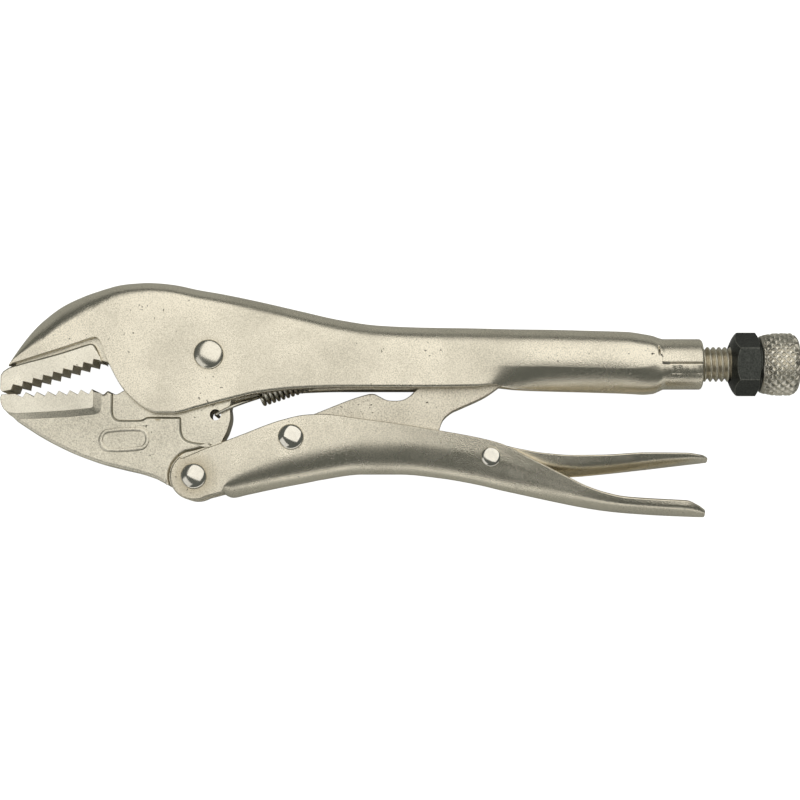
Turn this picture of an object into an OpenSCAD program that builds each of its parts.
/*
Locking pliers with straight serrated jaws.
The pliers lie on one side. +X runs from the jaw tips to the knob, +Y towards the fixed
handle, and +Z up out of the bench. The pieces are drawn about the jaw pivot's axis at the
tool's mid plane, and seat() moves them so that the origin is under the middle of the tool.
*/

/* [Overall] */
// Distance from the jaw pivot forward to the jaw tips
jaw_reach = 65; // [60:1:75]
// Distance from the jaw pivot back to the end of the fixed handle
handle_reach = 155; // [150:1:190]
// Thickness of the forged jaws between the cheeks
jaw_core_t = 11; // [9:0.5:14]
// Thickness of both handles' sheet steel
sheet_t = 2.5; // [1.8:0.1:3]
// Gap on each side between a cheek and the forging that turns in it
side_gap = 0.15; // [0.1:0.05:0.3]

/* [Jaws] */
// Thickness across the serrated blocks of both jaws
tooth_block_t = 15.4; // [13.6:0.1:16]
// Thickness of the lower jaw's web outside the cheeks
web_t = 12.6; // [11.6:0.1:13.4]
// Number of teeth on the upper jaw
upper_teeth = 9; // [6:1:9]
// Number of teeth on the lower jaw
lower_teeth = 7; // [5:1:7]
// Tooth spacing on the upper jaw
upper_pitch = 3.28; // [2.9:0.02:3.3]
// Tooth spacing on the lower jaw
lower_pitch = 3.44; // [3:0.02:3.46]

/* [Rivets] */
// Radius of the jaw pivot rivet's shank
pivot_r = 3.4; // [2.6:0.1:4]
// Radius of the jaw pivot rivet's heads
pivot_head_r = 4.7; // [4.4:0.1:5.6]
// Radius of the shank of the rivets that hold the lower jaw and the link
joint_r = 3; // [2.2:0.1:3.4]
// Radius of the heads of those two rivets
joint_head_r = 4.05; // [3.8:0.05:5]
// Radius of the shank of the release lever's rivet
lever_pin_r = 2; // [1.5:0.1:2.3]
// Radius of the heads of the release lever's rivet
lever_head_r = 3; // [2.6:0.1:3.4]
// Radial clearance of a rivet in a piece that turns on it
turn_gap = 0.06; // [0.03:0.01:0.1]

/* [Adjusting screw] */
// Outside radius of the thread
screw_r = 5.5; // [4.6:0.05:5.6]
// Spacing of the thread
screw_pitch = 1.814; // [1.25:0.001:2]
// Length of the threaded shank from the knob to the tip
screw_len = 67.5; // [64:0.5:70]
// Bare length between the handle and the lock nut
screw_show = 8.8; // [6:0.1:9]
// Outside radius of the rolled tube that the screw runs in
tube_r = 8; // [7.6:0.1:8.4]
// Length of that tube
tube_len = 14; // [10:0.5:18]
// Lock nut's size across flats
nut_af = 17.5; // [16:0.1:18]
// Lock nut's length along the screw
nut_len = 8.8; // [6:0.1:10]
// Washer's thickness
washer_t = 0.6; // [0.4:0.1:1]
// Knob's largest radius
knob_r = 9.9; // [9:0.1:10]
// Knob's length
knob_len = 11.8; // [10:0.1:14]

/* [Release lever] */
// Thickness of the lever's sheet steel
lever_t = 1.6; // [1.2:0.1:1.8]

/* [Spring] */
// Spring wire's radius
wire_r = 0.55; // [0.4:0.05:0.7]
// Radius of the coil to the middle of the wire
coil_r = 2.8; // [2.2:0.1:3.2]
// Number of turns in the coil
coil_turns = 20; // [12:1:24]

/* [Hidden] */
$fn = 64;

// Widths across the tool, from its mid plane
cheek_in = jaw_core_t / 2 + side_gap;
cheek_out = cheek_in + sheet_t;
far = cheek_out + 10;

// Axes of the four rivets, from the jaw pivot
jaw_axis = [0, 0];
handle_axis = [-4.3, -38];
link_axis = [25.8, -25.8];
lever_axis = [88, -32];

// The screw's line and its stations along X
screw_y = -2.3;
screw_tip_x = handle_reach + screw_show + nut_len + washer_t - screw_len;
nut_x = handle_reach + screw_show;
washer_x = nut_x + nut_len;
knob_x = washer_x + washer_t;
knob_end_x = knob_x + knob_len;
tube_x = handle_reach - tube_len;
screw_hole_r = screw_r + turn_gap;

// The rest position of the link's loose end, just ahead of the screw's tip
link_end_r = 4.2;
link_end_gap = 1.5;
link_end = [screw_tip_x - link_end_gap - link_end_r, screw_y];

// Height of a domed rivet head, and the height that the tool lies at
pivot_head_h = 1.9;
joint_head_h = 2;
lever_head_h = 1.1;
rest_z = max(cheek_out + max(pivot_head_h, joint_head_h), knob_r);

// How far the back part of a handle moves when the fixed handle is made longer
stretch = handle_reach - 155;
function back(x) = x + stretch * max(0, min(1, (x - 20) / 60));

// ---- Curves through stations ----
// A table's rows are [x, a, b, ...]; at() reads column c at x on a smooth curve through them.
function row_of(t, x, i = 0) = i >= len(t) - 2 || x < t[i + 1][0] ? i : row_of(t, x, i + 1);
function rise(t, c, i) = (t[i + 1][c] - t[i][c]) / (t[i + 1][0] - t[i][0]);
// Slope at station i: the harmonic mean of its neighbours, or level where the curve turns
function slope(t, c, i) =
    i == 0 ? rise(t, c, 0)
    : i == len(t) - 1 ? rise(t, c, i - 1)
    : rise(t, c, i - 1) * rise(t, c, i) <= 0 ? 0
    : 2 / (1 / rise(t, c, i - 1) + 1 / rise(t, c, i));
function at(t, c, x) =
    let (i = row_of(t, x), w = t[i + 1][0] - t[i][0], s = max(0, min(1, (x - t[i][0]) / w)))
    t[i][c] * (1 + 2 * s) * (1 - s) * (1 - s) + t[i + 1][c] * s * s * (3 - 2 * s)
    + w * s * (1 - s) * ((1 - s) * slope(t, c, i) - s * slope(t, c, i + 1));
function span(a, b, n) = [for (i = [0:n]) a + (b - a) * i / n];
function arc(c, r, a0, a1, n = 16) = [for (a = span(a0, a1, n)) c + r * [cos(a), sin(a)]];
function low(points, axis) = min([for (p = points) p[axis]]);
function high(points, axis) = max([for (p = points) p[axis]]);

// ---- Bent sheet ----
// One section of a trough: the web at y = web rounds over a height h into cheeks that run to
// y = lip. in_t is how far the face is inside the outer one, and tuck from 0 to 1 curls the
// cheeks' lower halves in towards z = slot.
function section(web, lip, h, w, tuck, slot, in_t, n = 5) =
    let (
        d = sign(lip - web), deep = abs(lip - web), wi = w - in_t,
        top = web + d * min(in_t, 0.8 * deep), edge = lip - d * in_t * tuck,
        hi = min(max(h - in_t, 0.4), 0.5 * abs(edge - top)), shoulder = top + d * hi,
        mid = shoulder + (edge - shoulder) * max(0.02, 0.5 - h / deep),
        edge_w = wi - tuck * (wi - slot), power = 2.6 - 0.6 * tuck, curl = 3.2 - 2.4 * h / deep,
        bend = [for (i = [0:n]) [wi * pow(sin(90 * i / n), 2 / power),
                                 top + d * hi * (1 - pow(cos(90 * i / n), 2 / power))]],
        wall = [for (s = span(1 / n, 1, n - 1))
                [edge_w + (wi - edge_w) * pow(1 - pow(s, curl), 1 / curl), mid + (edge - mid) * s]],
        half = concat(bend, [[wi, mid]], wall)
    )
    concat([for (i = [len(half) - 1:-1:1]) [-half[i][0], half[i][1]]], half);

// A trough through the stations xs of the table t, whose columns are web, lip, h, w, tuck, slot
module trough(t, xs, thick) {
    rings = [for (x = xs)
        let (c = [for (k = [1:6]) at(t, k, x)])
        concat(
            [for (p = section(c[0], c[1], c[2], c[3], c[4], c[5], 0)) [x, p[1], p[0]]],
            [for (p = section(c[0], c[1], c[2], c[3], c[4], c[5], thick)) [x, p[1], p[0]]]
        )];
    m = len(rings[0]) / 2;
    loop = concat([for (i = [0:m - 1]) i], [for (i = [2 * m - 1:-1:m]) i]);
    n = len(rings);
    turn = t[0][1] > t[0][2];
    faces = concat(
        [for (r = [0:n - 2], i = [0:2 * m - 1])
            let (a = loop[i], b = loop[(i + 1) % (2 * m)], o = r * 2 * m)
            each [[o + a, o + b, o + 2 * m + a], [o + b, o + 2 * m + b, o + 2 * m + a]]],
        [for (i = [0:m - 2]) each [[i, i + m, i + 1], [i + 1, i + m, i + m + 1]]],
        [for (i = [0:m - 2]) let (o = (n - 1) * 2 * m)
            each [[o + i, o + i + 1, o + i + m], [o + i + 1, o + i + m + 1, o + i + m]]]
    );
    points = [for (r = rings) each r];
    polyhedron(points, turn ? [for (f = faces) [f[0], f[2], f[1]]] : faces);
}

// ---- Small shapes ----
module at_axis(p) translate([p[0], p[1], 0]) children();
module slab(t) linear_extrude(t, center = true) children();
module along_screw(x) translate([x, screw_y, 0]) rotate([0, 90, 0]) children();

module offset_outline(by) offset(delta = by, chamfer = true) children();

// A rivet on its axis: a shank across the cheeks, and a dome of radius r and height h on each
module rivet(shank_r, head_r, h) {
    dome_r = (head_r * head_r + h * h) / (2 * h);
    cylinder(r = shank_r, h = 2 * cheek_out, center = true);
    for (side = [0, 1]) mirror([0, 0, side]) translate([0, 0, cheek_out])
        intersection() {
            translate([0, 0, h - dome_r]) sphere(r = dome_r);
            cylinder(r = head_r, h = h + 1);
        }
}
module rivet_hole(p, r) at_axis(p) cylinder(r = r, h = 2 * far, center = true);

// ---- Fixed handle ----
// Stations along X: crown, lower edge, height of the bend, half width, tuck and slot
body_shape = [
    [-62.4, -2.7, -3.5, 0.6, cheek_out, 0, cheek_in],
    [-61.2, 0.6, -2.9, 1.8, cheek_out, 0, cheek_in],
    [-59, 4.5, -2.2, 3.6, cheek_out, 0, cheek_in],
    [-55.9, 8.6, -1.2, 5.2, cheek_out, 0, cheek_in],
    [-52.8, 11.7, -0.2, 5.8, cheek_out, 0, cheek_in],
    [-46.5, 16.4, 1.8, 5.6, cheek_out, 0, cheek_in],
    [-40.3, 19.3, 3.9, 5, cheek_out, 0, cheek_in],
    [-37, 20.5, 5, 4.6, cheek_out, 0, cheek_in],
    [-35.4, 21, 5.3, 4.4, cheek_out, 0, cheek_in],
    [-34.2, 21.4, 4.3, 4.3, cheek_out, 0, cheek_in],
    [-33.2, 21.7, 2.2, 4.2, cheek_out, 0, cheek_in],
    [-32.1, 22, -1.1, 4, cheek_out, 0, cheek_in],
    [-30.8, 22.4, -3.8, 3.9, cheek_out, 0, cheek_in],
    [-27.1, 23.1, -10.3, 3.6, cheek_out, 0, cheek_in],
    [-23.8, 23.4, -14, 3.5, cheek_out, 0, cheek_in],
    [-20, 23.6, -17, 3.4, cheek_out, 0, cheek_in],
    [-16, 23.4, -18.6, 3.3, cheek_out, 0, cheek_in],
    [-11, 22.8, -18.7, 3.3, cheek_out, 0, cheek_in],
    [-4, 21.3, -17.1, 3.3, cheek_out, 0, cheek_in],
    [3.5, 20, -15.1, 3.3, cheek_out, 0, cheek_in],
    [16, 17.4, -12.2, 3.3, cheek_out, 0, cheek_in],
    [back(28.5), 14.5, -10.9, 3.3, cheek_out, 0, cheek_in],
    [back(41), 11.7, -10.5, 3.3, cheek_out, 0, cheek_in],
    [back(53), 10, -10.5, 3, cheek_out, 0, cheek_in],
    [back(66), 9.4, -10.5, 2.8, cheek_out, 0, cheek_in],
    [back(84), 9.1, -10.3, 2.8, cheek_out, 0, cheek_in],
    [back(88), 9, -10.2, 2.8, cheek_out, 0.12, cheek_in],
    [back(92), 8.9, -10.4, 2.9, cheek_out, 0.5, 4.6],
    [back(97), 8.8, -10.8, 3, cheek_out, 0.9, 4.4],
    [back(106), 8.7, -11.1, 3.2, cheek_out, 1, 4],
    [back(122), 8.3, -11.5, 3.8, cheek_out, 1, 2.4],
    [back(129), 8, -11.8, 4.6, cheek_out, 1, 1.2],
    [back(134), 7.3, -12, 6, cheek_out, 1, 0.5],
    [back(138), 6.5, -11.5, 7.4, 8.4, 1, 0.3],
    [back(142), 6.15, -10.75, 8.2, 8.4, 1, 0.3]
];
body_stations = concat(
    span(-62.4, -59, 3), span(-57.5, -37, 8), span(-36.4, -30.8, 9), span(-29, -13, 8),
    span(-10, 16, 6), span(back(24), back(84), 9), span(back(87), back(99), 6),
    span(back(104), back(128), 4), span(back(131), back(142), 5)
);
// A tab lanced from the crown holds the spring's back end
tab_x = 50;
tab_low = 1.4;
tab_t = 2;

module upper_body() color([0.78, 0.77, 0.72]) difference() {
    union() {
        trough(body_shape, body_stations, sheet_t);
        along_screw(tube_x) cylinder(r = tube_r, h = tube_len);
        translate([tab_x, tab_low, -tab_t / 2])
            cube([3.5, at(body_shape, 1, tab_x + 3.5) - sheet_t / 2 - tab_low, tab_t]);
    }
    along_screw(tube_x - 6) cylinder(r = screw_hole_r, h = tube_len + 7);
    rivet_hole(jaw_axis, pivot_r);
    at_axis(spring_back) cylinder(r = wire_r + 0.15, h = 2 * tab_t, center = true);
}

// ---- Upper jaw ----
// Teeth rise along a line from the first valley; each runs down gently and back up steeply
upper_first = [-61, -9.35];
upper_tilt = 17.7;
tooth_h = 1.55;
function turned(p, a) = [p[0] * cos(a) - p[1] * sin(a), p[0] * sin(a) + p[1] * cos(a)];
function upper_tooth(k, share, drop) =
    upper_first + turned([upper_pitch * (k + share), -drop], upper_tilt);
upper_teeth_line = [for (k = [0:upper_teeth - 2])
    each [upper_tooth(k, 0, 0), upper_tooth(k, 0.76, tooth_h)]];
upper_block = concat(
    [[-jaw_reach + 0.5, -11.6], [-jaw_reach, -10.9], [-jaw_reach, -6.4], [-jaw_reach + 0.8, -5.2],
     [-62.6, -4.1], [-61.3, -3.6], [-56.2, -2.1], [-46.5, 0.6], [-38.8, 3.1], [-36.9, 3.5],
     [-35.8, 3], [-34.8, 1.4], [-34, -0.6], [-33.6, -2.3], upper_tooth(upper_teeth - 1, 0.5, 1),
     upper_tooth(upper_teeth - 1, 0, 0)],
    [for (i = [len(upper_teeth_line) - 1:-1:0]) upper_teeth_line[i]],
    [[-61.6, -11.05]]
);
// The tang fills the nose of the fixed handle between its cheeks, up to their bend
upper_tang = concat(
    [[-61.5, -5], [-60.4, -2.4]],
    [for (x = span(-59, -28, 12)) [x, at(body_shape, 1, x) - max(at(body_shape, 3, x), sheet_t) - 0.3]],
    [[-27, 10], [-29.5, -1.8], [-32, -2.2], [-34, -1.6], [-37, -1], [-58, -7.5]]
);

module upper_jaw() color([0.8, 0.79, 0.74]) union() {
    slab(2 * cheek_in) polygon(upper_tang);
    slab(tooth_block_t) polygon(upper_block);
}

// ---- Lower jaw ----
lower_first = [-58, -13.4];
lower_tilt = 2.7;
function lower_tooth(k, share, lift) =
    lower_first + turned([lower_pitch * (k + share), lift], lower_tilt);
lower_teeth_line = [for (k = [0:lower_teeth - 1])
    each [lower_tooth(k, 0, 0), lower_tooth(k, 0.3, tooth_h)]];
jaw_nose = [[-jaw_reach + 1.2, -17.2], [-jaw_reach + 0.3, -15.6], [-jaw_reach, -13.6],
            [-jaw_reach + 0.3, -12.5], [-60.2, -12.3]];
tooth_wall = 1.8;
lower_block = concat(
    [[-62.4, -18.2], [-60, -18.6]], [for (p = jaw_nose) p], lower_teeth_line,
    [[-35.8, -11.7], [-35.8, -16.2], [-36.5, -16.9], [-44.5, -17.7], [-52.3, -18.2], [-60, -18.6]]
);
lug_r = 6.7;
hub_r = 11.5;
jaw_belly = [[-59.6, -21.1], [-52.8, -25.5], [-46.5, -28.9], [-40.3, -31.7], [-34, -33.9],
             [-27.8, -35.5], [-21.5, -37], [-16, -38.9], [-11.4, -41.4]];
jaw_top = [[-35.8, -11.7], [-33.1, -12.3], [-31.9, -11.3], [-30.2, -11.9], [-29, -12.3],
           [-26.6, -11]];
jaw_back = [[2.9, -36], [3.8, -29], [4.4, -26.6], [5.6, -24.2], [6.6, -21], [6.8, -19],
            [6.5, -16.6], [7.4, -12]];
lower_core = concat(
    jaw_belly, arc(handle_axis, lug_r, 210, 370), jaw_back, arc(jaw_axis, hub_r, -35, 150),
    [for (i = [len(jaw_top) - 1:-1:0]) jaw_top[i]], [[-45, -14.5], [-60, -14.5]],
    [for (i = [2, 1, 0]) jaw_nose[i]]
);
// The thicker web below the cheeks, with a pocket on each side of the cheek's lobe
web_outline = concat(
    jaw_belly, [[-11.5, -39], [-10.5, -34], [-6, -29.4], [-7.4, -27.4], [-8.4, -25.6], [-8.5, -19.4],
     [-12, -20.2], [-17, -20], [-21, -20.2], [-28.2, -20.1], [-29.8, -18.6], [-30, -12.1],
     [-31.9, -11.3], [-33.1, -12.3], [-34.5, -12.2], [-45, -15], [-60, -15]],
    [for (i = [2, 1, 0]) jaw_nose[i]]
);
spring_hole = [2, -18.7];
spring_hole_r = 1.75;

module lower_jaw() color([0.8, 0.79, 0.74]) difference() {
    union() {
        slab(jaw_core_t) polygon(lower_core);
        slab(web_t) difference() {
            polygon(web_outline);
            translate(handle_axis) circle(r = ear_r + 0.4);
        }
        for (i = [0:2])
            slab(web_t + (tooth_block_t - web_t) * (i + 1) / 3) intersection() {
                offset_outline(tooth_wall * (2 - i) / 3) polygon(lower_block);
                union() {
                    polygon(lower_block);
                    polygon([[-63.2, -16], [-60, -21], [-30, -21], [-30, -12.4], [-34.6, -12.2],
                             [-38, -15], [-60, -15]]);
                }
            }
    }
    rivet_hole(jaw_axis, pivot_r + turn_gap);
    rivet_hole(handle_axis, joint_r + turn_gap);
    rivet_hole(spring_hole, spring_hole_r);
}

module jaw_rivet() color([0.8, 0.8, 0.78]) rivet(pivot_r, pivot_head_r, pivot_head_h);

// ---- Spring ----
// A close coil between two straight legs: the front one hooks through the lower jaw
coil_start = [15.5, -12.6];
coil_tilt = 18.6;
coil_len = 31;
spring_back = [51.7, 3.2];
coil_end = coil_start + turned([coil_len, 0], coil_tilt);
coil_steps = 10;
function coil_point(i) =
    let (a = 360 * i / coil_steps, u = coil_len * i / (coil_turns * coil_steps),
         grow = min(1, i / 5, (coil_turns * coil_steps - i) / 5),
         p = coil_start + turned([u, coil_r * grow * cos(a)], coil_tilt))
    [p[0], p[1], coil_r * grow * sin(a)];
hook_z = jaw_core_t / 2 + wire_r + 0.2;
hook_back_z = tab_t / 2 + wire_r + 0.4;
spring_line = concat(
    [[0.2, 0.1, -4.5], [0.2, 0.1, hook_z - 1.4], [0.9, 0.4, hook_z - 0.3], [2.2, 1, hook_z],
     [5.8, 2.7, hook_z], [9.8, 4.4, hook_z - 2.1]] + [for (i = [0:5]) [each spring_hole, 0]],
    [for (i = [0:coil_turns * coil_steps]) coil_point(i)],
    [[-3.4, -2, hook_back_z - 0.3], [-0.3, 0, hook_back_z], [0, 0, hook_back_z - 1],
     [0, 0, -hook_back_z]] + [for (i = [0:3]) [each spring_back, 0]]
);
wire_sides = 5;

// A wire of radius r along a line of points
module wire(line, r) {
    n = len(line);
    function unit(v) = v / norm(v);
    function heading(i) = unit(line[min(n - 1, i + 1)] - line[max(0, i - 1)]);
    rings = [for (i = [0:n - 1])
        let (t = heading(i), guide = abs(t[1]) > 0.9 ? [0, 0, 1] : [0, 1, 0],
             a = unit(cross(t, guide)), b = cross(t, a))
        [for (k = [0:wire_sides - 1]) line[i]
            + r * (cos(360 * k / wire_sides) * a + sin(360 * k / wire_sides) * b)]];
    polyhedron(
        [for (ring = rings) each ring],
        concat(
            [for (i = [0:n - 2], k = [0:wire_sides - 1])
                let (a = i * wire_sides + k, b = i * wire_sides + (k + 1) % wire_sides)
                each [[a, a + wire_sides, b], [b, a + wire_sides, b + wire_sides]]],
            [[for (k = [0:wire_sides - 1]) k],
             [for (k = [wire_sides - 1:-1:0]) (n - 1) * wire_sides + k]]
        )
    );
}

module jaw_spring() color([0.55, 0.54, 0.5]) wire(spring_line, wire_r);

// ---- Moving handle ----
// Stations along X: keel, upper edge, height of the bend, half width, tuck and slot
handle_shape = [
    [-12.5, -46, -33.8, 5.4, cheek_out, 0, cheek_in],
    [-8.7, -45.4, -32.6, 5.4, cheek_out, 0, cheek_in],
    [-0.7, -45, -29.3, 5.6, cheek_out, 0, cheek_in],
    [6.9, -44.5, -26.6, 6, cheek_out, 0, cheek_in],
    [11.3, -43.7, -24.7, 7, cheek_out, 0, cheek_in],
    [17.3, -42.4, -22.3, 7.6, cheek_out, 0, cheek_in],
    [22.6, -41.3, -20.5, 7.8, cheek_out, 0, cheek_in],
    [30.5, -39.8, -18.8, 7.8, cheek_out, 0, cheek_in],
    [35, -38.9, -18.6, 7.8, cheek_out, 0, cheek_in],
    [48, -37.2, -20.1, 7.6, cheek_out, 0, cheek_in],
    [59.8, -37.2, -21.7, 7.4, cheek_out, 0, cheek_in],
    [72.5, -38.4, -23.8, 7.2, cheek_out, 0, cheek_in],
    [84, -40.4, -25.9, 7, cheek_out, 0, cheek_in],
    [91.6, -42.2, -27.9, 7, cheek_out, 0, cheek_in],
    [98, -43.6, -31.1, 7, cheek_out, 0, cheek_in],
    [104.4, -45, -34.3, 6.8, cheek_out, 0, cheek_in],
    [112, -46.6, -38.1, 6.4, cheek_out, 0, cheek_in],
    [back(117.2), -47.6, -40.7, 5.8, cheek_out, 0, cheek_in],
    [back(123.5), -48.6, -42.9, 5, cheek_out, 0, cheek_in],
    [back(130), -49.3, -44.3, 4.4, cheek_out, 0, cheek_in],
    [back(142), -50.1, -45.1, 4.2, cheek_out - 0.3, 0, cheek_in],
    [back(149), -50.4, -45.4, 4, cheek_out - 1, 0, cheek_in],
    [back(152.5), -50.55, -46.8, 3, cheek_out - 2.2, 0, cheek_in],
    [back(155), -50.6, -48.6, 1.6, cheek_out - 4, 0, cheek_in]
];
handle_stations = concat(
    span(-12.5, 8, 5), span(12, 90, 13), span(94, 114, 6), span(back(118), back(146), 6),
    span(back(149), back(155), 4)
);
ear_r = 7.5;
keel_start = 4.8;

module lower_handle() color([0.78, 0.77, 0.72]) difference() {
    trough(handle_shape, handle_stations, sheet_t);
    // The keel is cut away at the front, which leaves two ears
    translate([-30, -60, -cheek_in]) cube([30 + keel_start, 60, 2 * cheek_in]);
    slab(2 * far) polygon(concat(
        [[-30, -60], [keel_start + 2, -60], [keel_start + 2, -44.6], [keel_start, -43]],
        arc(handle_axis, ear_r, 300, 126, 24), [[-8, -28], [-30, -28]]
    ));
    rivet_hole(handle_axis, joint_r);
    rivet_hole(link_axis, joint_r);
    rivet_hole(lever_axis, lever_pin_r);
}

module handle_rivet() color([0.85, 0.85, 0.83]) at_axis(handle_axis)
    rivet(joint_r, joint_head_r, joint_head_h);

// ---- Toggle link ----
link_t = 7;
boss_r = 5.4;
link_top = [[31.3, -18.9], [34.8, -17.5], [43.6, -14], [49.3, -12.2], [51.6, -12], [53.3, -12.8],
            [56, -14], [60, -14], [62.6, -12.8], [64.8, -10.6], [67.5, -7.6], [72, -4.6],
            [back(80), -1.6], [back(88), 0.8]];
link_low = [[back(93), -8.2], [back(86.5), -12.8], [79, -16.3], [76, -17.7], [73.5, -19.9],
            [72.4, -22.4], [71.6, -25], [69.5, -27.4], [66, -28.4], [50, -29.6], [36, -30.6]];

module toggle_link() color([0.76, 0.74, 0.68]) difference() {
    union() {
        slab(link_t) polygon(concat(
            arc(link_axis, boss_r, 270, 108), link_top,
            arc(link_end, link_end_r, 105, -70), link_low
        ));
        at_axis(link_axis) cylinder(r = boss_r - 0.3, h = jaw_core_t, center = true);
    }
    rivet_hole(link_axis, joint_r + turn_gap);
}

module link_rivet() color([0.85, 0.85, 0.83]) at_axis(link_axis)
    rivet(joint_r, joint_head_r, joint_head_h);

// ---- Release lever ----
lever_gap = 0.3;
lever_w = cheek_in - lever_gap;
lever_shape = [
    [63.5, -34.2, -32.4, 1.4, lever_w - 1.8, 0, 0],
    [70, -34.9, -31.4, 3, lever_w - 1.2, 0, 0],
    [80, -36, -28.6, 5, lever_w, 0, 0],
    [88, -37, -27.6, 5.5, lever_w, 0, 0],
    [98, -37.9, -29.4, 5, lever_w, 0, 0],
    [104.4, -38.2, -30.5, 4.6, lever_w, 0, 0],
    [114, -38, -31.2, 4.2, lever_w, 0, 0],
    [back(123.5), -37.2, -31.1, 4, lever_w, 0, 0],
    [back(136.3), -35.8, -30.5, 3.4, lever_w + 1.4, 0, 0],
    [back(149), -34.3, -30.6, 2.6, lever_w + 1.6, 0, 0],
    [back(153.5), -33.8, -31.2, 1.8, lever_w + 0.8, 0, 0],
    [back(156), -33.5, -32.2, 1, lever_w - 1.5, 0, 0]
];
lever_stations = concat(
    span(63.5, 112, 13), span(116, back(150), 6), span(back(152), back(156), 3)
);

module release_lever() color([0.78, 0.77, 0.72]) difference() {
    trough(lever_shape, lever_stations, lever_t);
    rivet_hole(lever_axis, lever_pin_r + turn_gap);
}

module lever_rivet() color([0.85, 0.85, 0.83]) at_axis(lever_axis)
    rivet(lever_pin_r, lever_head_r, lever_head_h);

// ---- Adjusting screw, knob, washer and lock nut ----
thread_depth = 0.95;
knob_bore_r = 3.6;
tenon_len = 8;

module adjusting_screw() color([0.7, 0.69, 0.64]) along_screw(screw_tip_x) rotate_extrude() {
    crests = floor((screw_len - 6) / screw_pitch);
    polygon(concat(
        [[0, 0], [screw_r - 3.2, 0], [screw_r - 1.4, 2.4]],
        [for (i = [0:crests - 1]) let (x = 3.2 + i * screw_pitch)
            each [[screw_r - thread_depth, x], [screw_r, x + 0.42 * screw_pitch],
                  [screw_r, x + 0.58 * screw_pitch]]],
        [[screw_r - thread_depth, screw_len - 2], [screw_r - thread_depth, screw_len],
         [knob_bore_r, screw_len], [knob_bore_r, screw_len + tenon_len],
         [0, screw_len + tenon_len]]
    ));
}

module adjusting_knob() color([0.78, 0.76, 0.7]) along_screw(knob_x) rotate_extrude() polygon([
    [knob_bore_r, 0], [knob_r - 1.3, 0], [knob_r - 0.9, 0.5], [knob_r - 0.4, 2.4], [knob_r, 5.5],
    [knob_r, 9.6], [knob_r - 0.5, knob_len - 1], [knob_r - 1.6, knob_len], [0, knob_len],
    [0, tenon_len], [knob_bore_r, tenon_len]
]);

module thrust_washer() color([0.1, 0.1, 0.1]) along_screw(washer_x) difference() {
    cylinder(r = knob_r - 1.6, h = washer_t);
    translate([0, 0, -1]) cylinder(r = screw_hole_r, h = washer_t + 2);
}

module lock_nut() color([0.2, 0.21, 0.2]) along_screw(nut_x) difference() {
    intersection() {
        rotate([0, 0, 90]) cylinder(r = nut_af / sqrt(3), h = nut_len, $fn = 6);
        rotate_extrude() polygon([
            [0, 0], [screw_r + 0.6, 0], [nut_af / sqrt(3) + 0.4, 3], [nut_af / sqrt(3) + 0.4, nut_len - 0.6],
            [nut_af / 2 - 0.2, nut_len], [0, nut_len]
        ]);
    }
    translate([0, 0, -1]) cylinder(r = screw_hole_r, h = nut_len + 2);
}

// ---- Assembly ----
tip_x = -jaw_reach;
crown_y = high([for (x = body_stations) [x, at(body_shape, 1, x)]], 1);
keel_y = low([for (x = handle_stations) [x, at(handle_shape, 1, x)]], 1);
module seat() translate([-(tip_x + knob_end_x) / 2, -(crown_y + keel_y) / 2, rest_z]) children();

seat() upper_body();
seat() upper_jaw();
seat() lower_jaw();
seat() jaw_rivet();
seat() jaw_spring();
seat() lower_handle();
seat() handle_rivet();
seat() toggle_link();
seat() link_rivet();
seat() release_lever();
seat() lever_rivet();
seat() adjusting_screw();
seat() adjusting_knob();
seat() thrust_washer();
seat() lock_nut();
